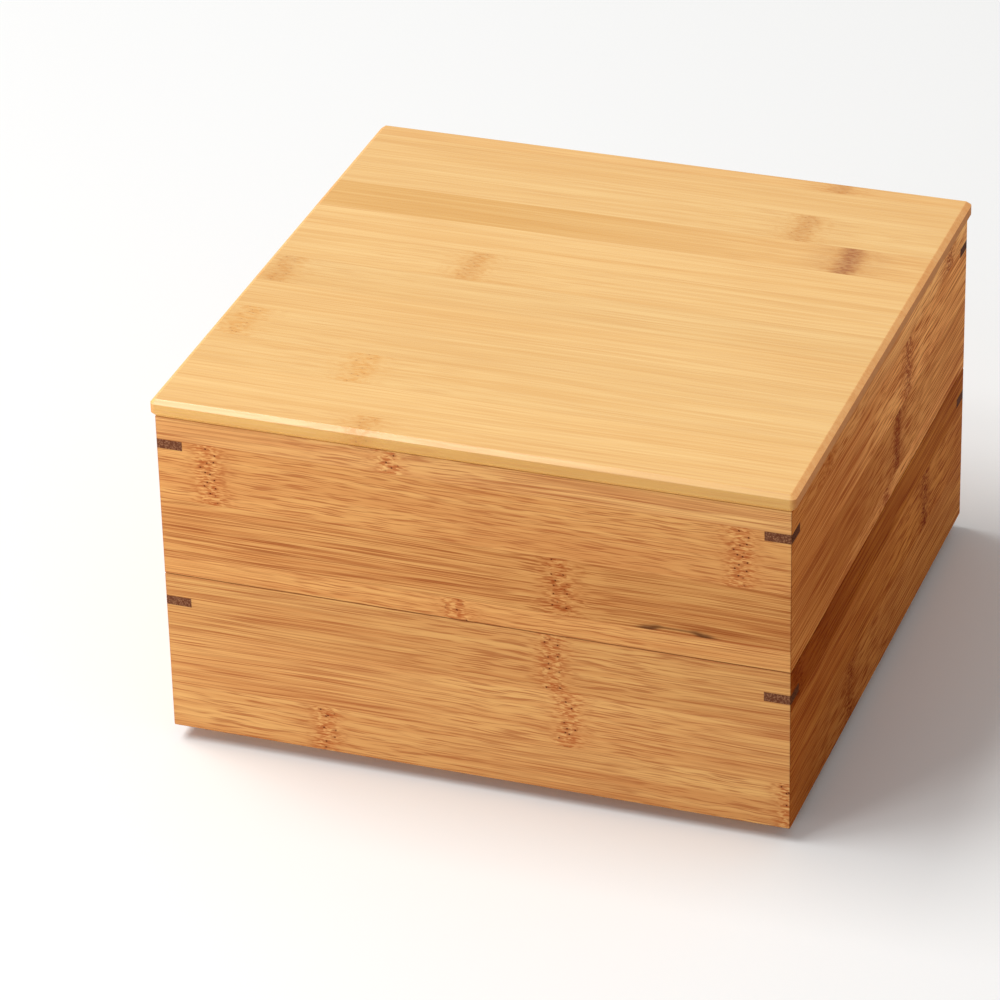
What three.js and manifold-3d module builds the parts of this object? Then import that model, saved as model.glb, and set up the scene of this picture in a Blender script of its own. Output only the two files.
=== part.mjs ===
// Two-tier bento box of laminated bamboo: two alike trays that nest on each other, and a flat lid.
// Millimetres, +Z up. The front looks along -Y, and the origin is on the table under the middle.
import * as THREE from "three";
import { mergeVertices } from "three/addons/utils/BufferGeometryUtils.js";
import Module from "manifold-3d";

// Lid board: outside size, and how its edges are rounded over
const LID_WIDTH = 210;
const LID_DEPTH = 210;
const LID_THICKNESS = 6;
const LID_OVERHANG = 1.3;
const LID_CORNER_RADIUS = 2.5;
const LID_EDGE_ROUND = 2;

// Tier walls, and the floor board that they hold in a groove
const WALL_HEIGHT = 56.9;
const WALL_THICKNESS = 8;
const FLOOR_THICKNESS = 5;
const FLOOR_RISE = 3;
const GROOVE_DEPTH = 4;

// Strips under each floor and under the lid, which drop into the mouth of the tier below
const STACKING_STRIP_WIDTH = 10;
const STACKING_REACH = 5;
const LID_STRIP_WIDTH = 10;
const LID_STRIP_HEIGHT = 5;
const STRIP_CHAMFER = 1;

// Dark triangular keys let into the mitred corners, flush with both faces
const KEY_LEG = 8.6;
const KEY_THICKNESS = 3.2;
const KEY_DROP = 8.1;

// Clearances
const GLUE_LINE = 0.1;
const SEAT_GAP = 0.1;
const NEST_CLEARANCE = 0.5;
const PANEL_PLAY = 0.3;
const PANEL_FIT = 0.15;
const KEY_FIT = 0.15;

// Facets of the rounded lid edge, and how far a cutter runs out past what it cuts
const ROUND_SEGMENTS = 4;
const CUT_MARGIN = 1;

// Colours and sheen
const LID_FINISH = { color: 0xf0c583, roughness: 0.42, metalness: 0 };
const WALL_FINISH = { color: 0xd39a52, roughness: 0.45, metalness: 0 };
const FLOOR_FINISH = { color: 0xe2b06c, roughness: 0.5, metalness: 0 };
const STRIP_FINISH = { color: 0xdba561, roughness: 0.5, metalness: 0 };
const KEY_FINISH = { color: 0x5a3a28, roughness: 0.55, metalness: 0 };

// Sizes that follow from the ones above
const BODY_WIDTH = LID_WIDTH - 2 * LID_OVERHANG;
const BODY_DEPTH = LID_DEPTH - 2 * LID_OVERHANG;
const MOUTH_WIDTH = BODY_WIDTH - 2 * WALL_THICKNESS;
const MOUTH_DEPTH = BODY_DEPTH - 2 * WALL_THICKNESS;
const PLUG_WIDTH = MOUTH_WIDTH - 2 * NEST_CLEARANCE;
const PLUG_DEPTH = MOUTH_DEPTH - 2 * NEST_CLEARANCE;
const KEY_BOTTOM = WALL_HEIGHT - KEY_DROP - KEY_THICKNESS;
const MITRE_SETBACK = GLUE_LINE * Math.SQRT1_2;
const LOWER_TIER_Z = STACKING_REACH;
const UPPER_TIER_Z = LOWER_TIER_Z + WALL_HEIGHT + SEAT_GAP;
const LID_Z = UPPER_TIER_Z + WALL_HEIGHT + SEAT_GAP;

// Sides and corners in order round the box, each a quarter turn after the one before
const SIDES = ["front", "right", "back", "left"];
const CORNERS = ["front_right", "back_right", "back_left", "front_left"];
const QUARTER_TURN = Math.PI / 2;

const wasm = await Module();
wasm.setup();

// A closed geometry as a solid that can be cut.
function solidOf(geometry) {
  const bare = new THREE.BufferGeometry();
  bare.setAttribute("position", geometry.getAttribute("position"));
  const merged = mergeVertices(bare);
  const vertProperties = merged.getAttribute("position").array;
  const triVerts = new Uint32Array(merged.index.array);
  return new wasm.Manifold(new wasm.Mesh({ numProp: 3, vertProperties, triVerts }));
}

// A solid back as a flat-shaded geometry.
function geometryOf(solid) {
  const { vertProperties, triVerts } = solid.getMesh();
  const indexed = new THREE.BufferGeometry();
  indexed.setAttribute("position", new THREE.BufferAttribute(vertProperties, 3));
  indexed.setIndex(new THREE.BufferAttribute(triVerts, 1));
  const flat = indexed.toNonIndexed();
  flat.computeVertexNormals();
  return flat;
}

function namedMesh(name, geometry, finish) {
  const mesh = new THREE.Mesh(geometry, new THREE.MeshStandardMaterial(finish));
  mesh.name = name;
  return mesh;
}

function outline(points) {
  return new THREE.Shape(points.map(([x, y]) => new THREE.Vector2(x, y)));
}

// Section of a wall: x is the depth behind its outer face, y the height above its lower edge.
function wallProfile() {
  const grooveFace = WALL_THICKNESS - GROOVE_DEPTH;
  const grooveBottom = FLOOR_RISE - PANEL_FIT;
  const grooveTop = FLOOR_RISE + FLOOR_THICKNESS + PANEL_FIT;
  return outline([
    [0, 0],
    [WALL_THICKNESS, 0],
    [WALL_THICKNESS, grooveBottom],
    [grooveFace, grooveBottom],
    [grooveFace, grooveTop],
    [WALL_THICKNESS, grooveTop],
    [WALL_THICKNESS, WALL_HEIGHT],
    [0, WALL_HEIGHT],
  ]);
}

// Section of a strip, in the same axes, chamfered where it leads into the mouth below.
function stripProfile(width, bottom, top) {
  return outline([
    [STRIP_CHAMFER, bottom],
    [width, bottom],
    [width, top],
    [0, top],
    [0, bottom + STRIP_CHAMFER],
  ]);
}

// A board along X with its outer face at y = 0. Each end is mitred: it falls back by the depth
// behind the outer face, so the section is carried along X and sheared at both ends.
function mitredBoard(profile, length) {
  const board = new THREE.ExtrudeGeometry(profile, { depth: 1, bevelEnabled: false });
  const points = board.getAttribute("position");
  for (let i = 0; i < points.count; i++) {
    const depth = points.getX(i);
    const height = points.getY(i);
    const end = points.getZ(i) > 0.5 ? 1 : -1;
    points.setXYZ(i, end * (length / 2 - depth - MITRE_SETBACK), depth, height);
  }
  board.computeVertexNormals();
  return board;
}

// A triangular prism in the front right corner: its right angle is at the origin, and its legs
// run along the front face to -X and along the right face to +Y.
function cornerPrism(leg, thickness) {
  const triangle = outline([
    [0, 0],
    [0, leg],
    [-leg, 0],
  ]);
  return new THREE.ExtrudeGeometry(triangle, { depth: thickness, bevelEnabled: false });
}

// A wall with the two slots that its corner keys sit in.
function slottedWall(length) {
  const leg = KEY_LEG + KEY_FIT * Math.SQRT2 + 2 * CUT_MARGIN;
  const out = length / 2 + CUT_MARGIN;
  const bottom = KEY_BOTTOM - KEY_FIT;
  const right = cornerPrism(leg, KEY_THICKNESS + 2 * KEY_FIT);
  const left = right.clone().rotateZ(-QUARTER_TURN);
  right.translate(out, -CUT_MARGIN, bottom);
  left.translate(-out, -CUT_MARGIN, bottom);
  const board = solidOf(mitredBoard(wallProfile(), length));
  return geometryOf(board.subtract(solidOf(right)).subtract(solidOf(left)));
}

// Four boards mitred into a frame of the given outside size.
function addFrame(group, width, depth, finish, nameOf, boardOf) {
  SIDES.forEach((side, index) => {
    const turn = index * QUARTER_TURN;
    const alongX = index % 2 === 0;
    const reach = (alongX ? depth : width) / 2;
    const board = namedMesh(nameOf(side), boardOf(alongX ? width : depth), finish);
    board.rotation.z = turn;
    board.position.set(reach * Math.sin(turn), -reach * Math.cos(turn), 0);
    group.add(board);
  });
}

function addWalls(tier, prefix) {
  const nameOf = (side) => `${prefix}_${side}_wall`;
  addFrame(tier, BODY_WIDTH, BODY_DEPTH, WALL_FINISH, nameOf, slottedWall);
}

function addFloor(tier, prefix) {
  const spread = 2 * (GROOVE_DEPTH - PANEL_PLAY);
  const panel = new THREE.BoxGeometry(MOUTH_WIDTH + spread, MOUTH_DEPTH + spread, FLOOR_THICKNESS);
  const floor = namedMesh(`${prefix}_floor_panel`, panel, FLOOR_FINISH);
  floor.position.z = FLOOR_RISE + FLOOR_THICKNESS / 2;
  tier.add(floor);
}

function addCornerKeys(tier, prefix) {
  CORNERS.forEach((corner, index) => {
    const prism = cornerPrism(KEY_LEG, KEY_THICKNESS);
    const key = namedMesh(`${prefix}_corner_key_${corner}`, prism, KEY_FINISH);
    const x = corner.endsWith("right") ? BODY_WIDTH / 2 : -BODY_WIDTH / 2;
    const y = corner.startsWith("back") ? BODY_DEPTH / 2 : -BODY_DEPTH / 2;
    key.rotation.z = index * QUARTER_TURN;
    key.position.set(x, y, KEY_BOTTOM);
    tier.add(key);
  });
}

function addStackingStrips(tier, prefix) {
  const profile = stripProfile(STACKING_STRIP_WIDTH, -STACKING_REACH, FLOOR_RISE - GLUE_LINE);
  const nameOf = (side) => `${prefix}_stacking_strip_${side}`;
  const boardOf = (length) => mitredBoard(profile, length);
  addFrame(tier, PLUG_WIDTH, PLUG_DEPTH, STRIP_FINISH, nameOf, boardOf);
}

// One tray, with its walls' lower edges at z = 0.
function makeTier(prefix) {
  const tier = new THREE.Group();
  addWalls(tier, prefix);
  addFloor(tier, prefix);
  addCornerKeys(tier, prefix);
  addStackingStrips(tier, prefix);
  return tier;
}

// The lid's board, rounded over all round, on the rectangle z = 0 to LID_THICKNESS.
function lidPanel() {
  const x = LID_WIDTH / 2 - LID_CORNER_RADIUS;
  const y = LID_DEPTH / 2 - LID_CORNER_RADIUS;
  const plan = new THREE.Shape();
  plan.absarc(x, -y, LID_CORNER_RADIUS, -QUARTER_TURN, 0);
  plan.absarc(x, y, LID_CORNER_RADIUS, 0, QUARTER_TURN);
  plan.absarc(-x, y, LID_CORNER_RADIUS, QUARTER_TURN, 2 * QUARTER_TURN);
  plan.absarc(-x, -y, LID_CORNER_RADIUS, 2 * QUARTER_TURN, 3 * QUARTER_TURN);
  const board = new THREE.ExtrudeGeometry(plan, {
    depth: LID_THICKNESS - 2 * LID_EDGE_ROUND,
    bevelThickness: LID_EDGE_ROUND,
    bevelSize: LID_EDGE_ROUND,
    bevelOffset: -LID_EDGE_ROUND,
    bevelSegments: ROUND_SEGMENTS,
    curveSegments: ROUND_SEGMENTS,
  });
  return board.translate(0, 0, LID_EDGE_ROUND);
}

// The lid, with the underside of its board at z = 0.
function makeLid() {
  const lid = new THREE.Group();
  lid.add(namedMesh("lid_panel", lidPanel(), LID_FINISH));
  const profile = stripProfile(LID_STRIP_WIDTH, -LID_STRIP_HEIGHT, -GLUE_LINE);
  const nameOf = (side) => `lid_locating_strip_${side}`;
  const boardOf = (length) => mitredBoard(profile, length);
  addFrame(lid, PLUG_WIDTH, PLUG_DEPTH, STRIP_FINISH, nameOf, boardOf);
  return lid;
}

const bentoBox = new THREE.Group();
const lowerTier = makeTier("lower");
lowerTier.position.z = LOWER_TIER_Z;
const upperTier = makeTier("upper");
upperTier.position.z = UPPER_TIER_Z;
const lid = makeLid();
lid.position.z = LID_Z;
bentoBox.add(lowerTier, upperTier, lid);

export default bentoBox;
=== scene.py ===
"""Two-tier bento box of laminated bamboo: its boards, strips and corner keys, and a small studio.

Every piece is a surface worked out with numpy, in metres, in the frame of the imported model. Each board
carries its own grain coordinates, in millimetres: along the fibres, across the strips and into the
board. Its strips, and the knuckles on them, are written on its faces for the materials to read.
"""
import math
from typing import NamedTuple

import bmesh
import bpy
import numpy as np
from mathutils import Matrix, Vector


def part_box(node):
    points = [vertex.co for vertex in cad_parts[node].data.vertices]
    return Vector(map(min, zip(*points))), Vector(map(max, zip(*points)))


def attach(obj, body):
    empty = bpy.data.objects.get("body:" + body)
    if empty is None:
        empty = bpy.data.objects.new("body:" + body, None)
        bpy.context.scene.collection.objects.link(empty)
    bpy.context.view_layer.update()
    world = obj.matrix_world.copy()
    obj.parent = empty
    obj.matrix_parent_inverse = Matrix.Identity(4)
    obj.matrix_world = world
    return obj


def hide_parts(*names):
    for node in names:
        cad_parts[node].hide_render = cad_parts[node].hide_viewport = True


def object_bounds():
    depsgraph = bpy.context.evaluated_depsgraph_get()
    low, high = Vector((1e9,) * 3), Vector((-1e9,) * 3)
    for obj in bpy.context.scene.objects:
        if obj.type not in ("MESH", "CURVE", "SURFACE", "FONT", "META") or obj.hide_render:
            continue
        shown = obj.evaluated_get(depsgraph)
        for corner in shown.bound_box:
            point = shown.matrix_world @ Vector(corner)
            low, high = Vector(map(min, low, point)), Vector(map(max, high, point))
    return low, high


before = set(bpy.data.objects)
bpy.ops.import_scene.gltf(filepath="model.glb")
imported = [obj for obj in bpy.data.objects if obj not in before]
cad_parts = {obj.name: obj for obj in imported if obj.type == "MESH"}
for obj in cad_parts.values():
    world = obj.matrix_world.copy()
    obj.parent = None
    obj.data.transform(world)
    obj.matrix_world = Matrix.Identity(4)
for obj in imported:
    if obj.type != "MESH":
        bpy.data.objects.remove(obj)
CAD_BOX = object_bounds()

bl_info = {
    "name": "Bamboo Bento Box",
    "version": (1, 0, 0),
    "blender": (4, 5, 0),
    "location": "View3D > Sidebar > Bento",
    "description": "Dresses a two-tier bamboo bento box: lid, walls, floors, strips, corner keys and studio",
    "category": "Object",
}

MM = 0.001
TIERS = ("lower", "upper")
SIDES = ("front", "right", "back", "left")
CORNERS = ("front_right", "back_right", "back_left", "front_left")


def span(node):
    """Low corner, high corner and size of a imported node."""
    low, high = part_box(node)
    return low, high, high - low


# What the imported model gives: one wall, key and floor of the lower tier, the lid's board, and from them
# half the body's width and the rise from tier to tier
WALL_LOW, _, WALL_SIZE = span("lower_front_wall")
KEY_LOW, _, KEY_SIZE = span("lower_corner_key_front_right")
FLOOR_LOW, FLOOR_HIGH, _ = span("lower_floor_panel")
LID_LOW, LID_HIGH, LID_SIZE = span("lid_panel")
BODY_HALF = -WALL_LOW.y
TIER_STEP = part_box("upper_front_wall")[0].z - WALL_LOW.z

# How far a mitre is set back from its corner: a glue line too thin for light to show through
MITRE_SETBACK = 0.003 * MM

# Where a mark lies that a strip doesn't have, past the ends of any board
FAR_OFF = 900.0


class Strip(NamedTuple):
    """One bamboo strip of a board, in millimetres: its width, where a knuckle crosses it, how far on the
    next one is, how far the knuckle's short fibres reach, its tone (above 0 lighter, below darker), its
    warmth (above 0 redder, below paler), how darkly its knuckle is stained, where a dark mineral mark
    lies, where a darker band along it lies and how deep it is, and how darkly its fibres are drawn over it.
    On the right side the tone, the warmth and the band are painted light: painted shade darker towards
    the front end and on the lower wall, and a paler wash towards the back of the upper wall."""

    width: float
    knuckle: float
    spacing: float = 300.0
    fringe: float = 62.0
    tone: float = 0.0
    warmth: float = 0.0
    stain: float = 0.0
    mineral: float = FAR_OFF
    shade: float = FAR_OFF
    depth: float = 0.0
    drawn: float = 0.0


def clear(width, **marks):
    """A strip whose knuckles lie past both its ends."""
    return Strip(width, 210.0, spacing=420.0, **marks)


def strip_in_painted_shade(width, knuckle, **marks):
    """A strip of the right side, darkened by painted shade towards its front end, under firmly drawn fibres.
    """
    return Strip(width, knuckle, **{"stain": 0.6, "shade": -100.0, "drawn": 1.2, **marks})


# Strips of the walls that the picture shows, from the lower edge up
SHOWN_STRIPS = {
    ("upper", "front"): (
        Strip(7.7, -5.1, fringe=90.0, tone=0.1),
        Strip(20.0, 29.2, fringe=22.0, tone=-0.05, mineral=66.9, shade=90.0, depth=0.2, drawn=0.55),
        Strip(21.2, -86.6, spacing=173.6, fringe=150.0, tone=0.05),
        Strip(8.0, -25.4, fringe=50.0, tone=0.45, warmth=-0.33),
    ),
    ("lower", "front"): (
        Strip(16.6, -50.8, spacing=154.0, fringe=80.0, tone=-0.05, warmth=-0.15),
        Strip(20.3, 31.3, fringe=66.0, warmth=-0.15),
        Strip(20.0, 26.0, fringe=70.0, tone=-0.25, warmth=-0.05),
    ),
    # Right side: tone, warmth and band paint its shade, darker to the front and below, paler to the back
    ("upper", "right"): (
        strip_in_painted_shade(6.3, 4.9, tone=1.4, warmth=0.3, depth=0.65),
        strip_in_painted_shade(21.1, 17.7, tone=1.05, warmth=0.4, stain=1.3, shade=-50.0, depth=0.7),
        strip_in_painted_shade(21.0, 29.9, tone=1.7, warmth=0.25, depth=0.7),
        strip_in_painted_shade(8.5, -63.7, spacing=144.3, tone=2.0, depth=0.78),
    ),
    ("lower", "right"): (
        strip_in_painted_shade(21.9, -35.8, tone=0.1, warmth=0.7, depth=0.65),
        strip_in_painted_shade(21.0, 54.9, tone=-0.15, warmth=0.9, depth=0.55),
        strip_in_painted_shade(14.0, -96.0, tone=-0.8, warmth=1.2, stain=0.9, depth=0.85),
    ),
}

# Strips of the lid, from its front edge to its back edge
LID_STRIPS = (
    Strip(10.0, -35.0, tone=0.05, warmth=0.1, stain=0.1),
    clear(19.3, tone=0.15),
    Strip(19.3, -49.3, tone=0.05),
    Strip(20.0, -96.4),
    clear(18.6, tone=0.05),
    Strip(18.6, -97.1, tone=-0.05, stain=0.15),
    Strip(20.0, -38.6, tone=0.05, stain=0.15),
    clear(19.3, tone=0.1),
    Strip(18.6, 77.9, tone=-0.05, warmth=0.18, stain=0.8, shade=-62.0, depth=0.25),
    Strip(19.3, 57.0, stain=0.25),
    clear(18.6, warmth=0.02),
    Strip(8.4, 60.7, tone=-0.05, warmth=0.18, stain=0.3),
)

# Strips of boards that the picture doesn't show: about this wide, with knuckles about this far apart, and
# the least part of a strip that a board ends with
HIDDEN_STRIP_WIDTH = 20.0
HIDDEN_KNUCKLE_SPACING = 270.0
HIDDEN_LAST = 0.2
# Ranges to draw from: the part of a strip that such a board starts with; then for each strip how its
# knuckles' spacing differs, where in it a knuckle lies, its tone, warmth and fringe; and any strip's seed
HIDDEN_FIRST = (0.35, 1.0)
HIDDEN_SPREAD = (0.8, 1.15)
HIDDEN_KNUCKLE = (-0.5, 0.5)
HIDDEN_TONE = (-0.25, 0.25)
HIDDEN_WARMTH = (0.0, 0.5)
HIDDEN_FRINGE = (45.0, 110.0)
STRIP_SEED = (0.05, 0.95)

# First seed of each group of boards
LID_SEED = 5
WALL_SEED = 11
FLOOR_SEED = 41
STACKING_SEED = 61
LOCATING_SEED = 81

# Steps of a rounded arris and of the lid's corners, how near to a bend the points lie that keep a flat
# flat, how near points are joined, the part of an edge that counts as its end, and the angle that shows
# as an edge
ARRIS_STEPS = 4
LID_CORNER_STEPS = 8
SUPPORT = 0.3 * MM
LID_SUPPORT = 0.02 * MM
WELD = 0.001 * MM
EDGE_END = 1e-6
SHARP_ANGLE = math.radians(30)
ALONG_X = (1.0, 0.0, 0.0)

# How far from the ends of a board without slots its inner stations lie, as a share of its half length
INNER_STATION = 0.1

# The lid's edge: how steeply its top falls and its underside rises, and the underside's own easing
LID_EDGE_FALL = math.radians(38)
LID_UNDER_RISE = math.radians(45)
LID_UNDER_EASE = 0.03 * MM

# How far an arris painted with shade leans from every axis, and how far it may look up and still be shaded
PAINTED_ARRIS_SHADE_LEAN = 0.15
PAINTED_ARRIS_SHADE_LOOKS_UP = 0.1

# The studio's floor and lamps: for each lamp's setting its name, and its place and its size in metres
STUDIO_HALF = 6.0
STUDIO_ROUGHNESS = 0.9
STUDIO_SPECULAR = 0.1
LAMPS = {
    "overhead": ("overhead_softbox", Vector((-1.65, -0.2, 3.05)), (2.4, 1.5)),
    "card": ("front_card", Vector((-0.5, -0.5, 0.09)), (0.4, 0.16)),
    "fill": ("front_fill", Vector((-0.92, -1.45, 2.4)), (0.45, 0.45)),
}
WHITE = (1.0, 1.0, 1.0, 1.0)

# Where the picture was taken from
CAMERA_AIM = Vector((-24.1, -8.8, 50.2)) * MM
CAMERA_AZIMUTH = math.radians(19.99)
CAMERA_ELEVATION = math.radians(29.61)
CAMERA_ROLL = math.radians(-1.476)
CAMERA_DISTANCE = 1.6648
CAMERA_LENS = 181.6


def number(name, description, default, **kind):
    """A number from 0 up that a user may set."""
    return bpy.props.FloatProperty(name=name, description=description, default=default, min=0.0, **kind)


def length(name, description, default):
    """A length that a user may set, in metres."""
    return number(name, description, default, precision=5, unit="LENGTH")


def power(name, description, default):
    """A lamp's power that a user may set, in watts."""
    return number(name, description, default, unit="POWER")


def colour(name, description, default):
    """A colour that a user may set, written as it shows on a screen, from 0 to 255."""
    return bpy.props.FloatVectorProperty(
        name=name,
        description=description,
        default=[part / 255 for part in default],
        min=0.0,
        max=1.0,
        size=3,
        subtype="COLOR_GAMMA",
    )


class BentoSizes(bpy.types.PropertyGroup):
    """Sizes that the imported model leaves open."""

    arris: length("Arris", "Rounding of the walls' edges", 0.4 * MM)
    strip_arris: length("Strip arris", "Rounding of the strips' and floors' edges", 0.3 * MM)
    strip_chamfer: length("Strip lead-in", "Chamfer where a strip enters the mouth below", 1.0 * MM)
    groove_fit: length("Groove fit", "Gap above and below a floor in its groove", 0.15 * MM)
    groove_play: length("Groove play", "Gap between a floor's edge and its groove", 0.3 * MM)
    key_fit: length("Key fit", "Glue gap round a corner key", 0.04 * MM)
    lid_edge: length("Lid edge", "How far in the lid's top starts to fall to its edge", 1.95 * MM)
    lid_under: length("Lid underside", "How far in the lid's underside starts to rise to its edge", 1.4 * MM)
    lid_ease: length("Lid easing", "Rounding where the lid's top starts to fall", 0.8 * MM)
    lid_corner: length("Lid corner", "Rounding of the lid's corners, seen from above", 2.0 * MM)


class BentoColours(bpy.types.PropertyGroup):
    """Colours of the bamboo and the keys."""

    lid_pale: colour("Lid, pale", "Pale fibre of the lid", (249, 205, 136))
    lid_amber: colour("Lid, amber", "Amber streaks of the lid", (238, 185, 112))
    lid_dash: colour("Lid, dashes", "Darker vessel lines of the lid", (213, 147, 76))
    lid_smudge: colour("Lid, knuckles", "Smudge of the lid's knuckles", (235, 168, 84))
    lid_pit: colour("Lid, pits", "Pits of the lid's knuckles", (166, 106, 56))
    wall_pale: colour("Wall, pale", "Pale fibre of the walls", (219, 164, 99))
    wall_amber: colour("Wall, amber", "Amber streaks of the walls", (196, 129, 73))
    wall_dash: colour("Wall, dashes", "Reddish vessel lines of the walls", (156, 79, 41))
    wall_smudge: colour("Wall, knuckles", "Reddish smudge of the walls' knuckles", (174, 84, 38))
    knuckle_core: colour("Knuckle", "Paler wood inside a knuckle", (226, 176, 108))
    knuckle_pit: colour("Knuckle pits", "Dark pits of a knuckle", (92, 44, 26))
    mineral: colour("Mineral line", "Grey-brown mineral line in a strip", (92, 62, 42))
    key_dark: colour("Key, dark", "Smoked bamboo of the corner keys", (112, 72, 51))
    key_speck: colour("Key, specks", "Lighter fibre ends in the keys", (168, 116, 83))
    studio: colour("Studio", "Pale floor that the box stands on", (244, 244, 243))


class BentoLight(bpy.types.PropertyGroup):
    """Strength of the studio's light."""

    overhead: power("Softbox", "Power of the softbox above, to the left", 80.0)
    card: power("Card", "Power of the small light in front, to the left", 1.9)
    fill: power("Fill", "Power of the lamp high in front", 9.2)
    sky: number("Sky", "Brightness of the pale surroundings", 0.42, max=1.0, subtype="FACTOR")


# Outlines and boards


def rounded_outline(corners, radii):
    """A closed outline with its corners rounded, as points (depth, height) in order.

    At a corner where the outline turns by t, the arc begins radius * tan(t / 2) before it. Its points
    are the arc's centre plus the first spoke turned by equal parts of t. One support point lies before
    the arc and one after it, so that the flats between the arcs stay flat when shaded. Each point is
    reckoned as one complex number, so that a turn is a product.
    """
    corners = np.asarray(corners) @ (1, 1j)
    inward = corners - np.roll(corners, 1)
    inward /= np.abs(inward)
    onward = np.roll(inward, -1)
    turn = np.angle(onward / inward)
    begin = corners - inward * radii * np.tan(np.abs(turn) / 2)
    centre = begin + 1j * np.sign(turn) * inward * radii
    parts = np.linspace(0, 1, ARRIS_STEPS + 1)[:, None]
    arcs = centre + (begin - centre) * np.exp(1j * turn * parts)
    rows = np.vstack([arcs[0] - inward * SUPPORT, arcs, arcs[-1] + onward * SUPPORT]).T.ravel()
    return np.stack([rows.real, rows.imag], axis=1)


def with_rows(outline, heights):
    """Adds a point to a closed outline wherever one of its edges crosses one of the heights."""
    start, step = outline, np.roll(outline, -1, axis=0) - outline
    rise = np.where(step[:, 1] == 0, np.inf, step[:, 1])
    part = (np.asarray(heights)[None, :] - start[:, 1:]) / rise[:, None]
    inside = (part > EDGE_END) & (part < 1 - EDGE_END) & np.isfinite(rise)[:, None]
    edge, row = np.nonzero(inside)
    part = part[edge, row]
    points = np.concatenate([outline, start[edge] + step[edge] * part[:, None]])
    order = np.argsort(np.concatenate([np.arange(len(outline)), edge + part]), kind="stable")
    return points[order]


def ring_cells(rings, count):
    """Quads between each closed ring of points and the next, each ring with the same count of points."""
    start = np.arange(rings - 1)[:, None] * count
    here = start + np.arange(count)
    after = start + (np.arange(count) + 1) % count
    return np.stack([here, here + count, after + count, after], axis=-1)


def prism(first, second):
    """Points and faces of the solid between two like rings of points."""
    count = len(first)
    caps = np.arange(2 * count).reshape(2, count)
    return np.concatenate([first, second]), ring_cells(2, count)[0].tolist() + caps.tolist()


class Slot(NamedTuple):
    """The slot for a corner key: its leg along each outer face, and its lower and upper edge."""

    leg: float
    bottom: float
    top: float


def mitred_board(outline, half, plan_round=0.0, slot=None):
    """Carries an outline (depth, height) along X and mitres both ends; returns points and faces.

    A point at depth d runs to half - max(d, plan_round) - the setback on either side. There a point less
    than plan_round deep goes on along an arc of radius plan_round - d through an eighth of a turn, so
    that two boards share one rounded arris. A slot takes away the cells of the outer face between its
    edges, out to the ends, and closes itself with a floor, a ceiling and a slanted back that meets the
    mitre where depth and distance from the corner are alike.
    """
    depth, height = outline.T
    count = len(outline)
    angle = np.linspace(0, np.pi / 4, ARRIS_STEPS + 1)[:, None]
    radius = np.maximum(plan_round - depth, 0)
    end_x = half - np.maximum(depth, plan_round) - MITRE_SETBACK + radius * np.sin(angle)
    end_depth = depth + radius * (1 - np.cos(angle))
    inner_x = np.full((1, count), half - (slot.leg if slot else INNER_STATION * half))
    x = np.concatenate([-end_x[::-1], -inner_x, inner_x, end_x])
    y = np.concatenate([end_depth[::-1], depth[None], depth[None], end_depth])
    z = np.broadcast_to(height, x.shape)
    points = np.stack([x, y, z], axis=-1).reshape(-1, 3)
    stations = len(x)
    cells = ring_cells(stations, count)
    if slot is None:
        caps = np.arange(stations * count).reshape(stations, count)[[0, -1]]
        return points, cells.reshape(-1, 4).tolist() + caps.tolist()

    on_face = np.isclose(depth, 0, atol=WELD)
    low = int(np.nonzero(on_face & np.isclose(height, slot.bottom, atol=WELD))[0][0])
    high = int(np.nonzero(on_face & np.isclose(height, slot.top, atol=WELD))[0][0])
    middle = ARRIS_STEPS + 1
    place = np.arange(count)
    cut = (place >= low) & (place < high) & (np.arange(stations - 1)[:, None] != middle)
    faces = cells[~cut].tolist()
    tip_depth = (slot.leg - MITRE_SETBACK) / 2
    tip_x = half - slot.leg + tip_depth
    for sign, rows in ((-1, range(middle, -1, -1)), (1, range(middle + 1, stations))):
        floor_tip, ceiling_tip = len(points), len(points) + 1
        tips = [[sign * tip_x, tip_depth, slot.bottom], [sign * tip_x, tip_depth, slot.top]]
        points = np.concatenate([points, tips])
        inner, outer = rows[0] * count, rows[-1] * count
        faces.append([row * count + low for row in rows] + [floor_tip])
        faces.append([row * count + high for row in rows] + [ceiling_tip])
        faces.append([inner + i for i in range(low, high + 1)] + [ceiling_tip, floor_tip])
        ring = [outer + i for i in range(low + 1)] + [floor_tip, ceiling_tip]
        faces.append(ring + [outer + i for i in range(high, count)])
    return points, faces


def quarter_turned(points, quarter):
    """Points turned about Z by a number of quarter turns."""
    cos, sin = ((1, 0), (0, 1), (-1, 0), (0, -1))[quarter % 4]
    x, y, z = np.asarray(points, float).T
    return np.stack([x * cos - y * sin, x * sin + y * cos, z], axis=1)


def closed_mesh(name, points, faces):
    """A mesh of these faces, without points that none uses, with like points joined and faces outwards."""
    ends = np.cumsum([len(face) for face in faces])
    used, corners = np.unique(np.concatenate(faces), return_inverse=True)
    rings = [ring.tolist() for ring in np.split(corners, ends[:-1])]
    mesh = bpy.data.meshes.new(name)
    mesh.from_pydata(np.asarray(points)[used].tolist(), [], rings)
    shell = bmesh.new()
    shell.from_mesh(mesh)
    bmesh.ops.remove_doubles(shell, verts=shell.verts, dist=WELD)
    bmesh.ops.recalc_face_normals(shell, faces=shell.faces)
    shell.to_mesh(mesh)
    shell.free()
    mesh.shade_smooth()
    mesh.set_sharp_from_angle(angle=SHARP_ANGLE)
    return mesh


def gathered(items, key):
    """A vector of each point or face of a mesh, as the rows of an array."""
    flat = np.empty(len(items) * 3, np.float32)
    items.foreach_get(key, flat)
    return flat.reshape(-1, 3)


def write_faces(mesh, name, values):
    """Stores a number on each face."""
    attribute = mesh.attributes.new(name, "FLOAT", "FACE")
    attribute.data.foreach_set("value", np.ascontiguousarray(values, np.float32))


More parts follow.
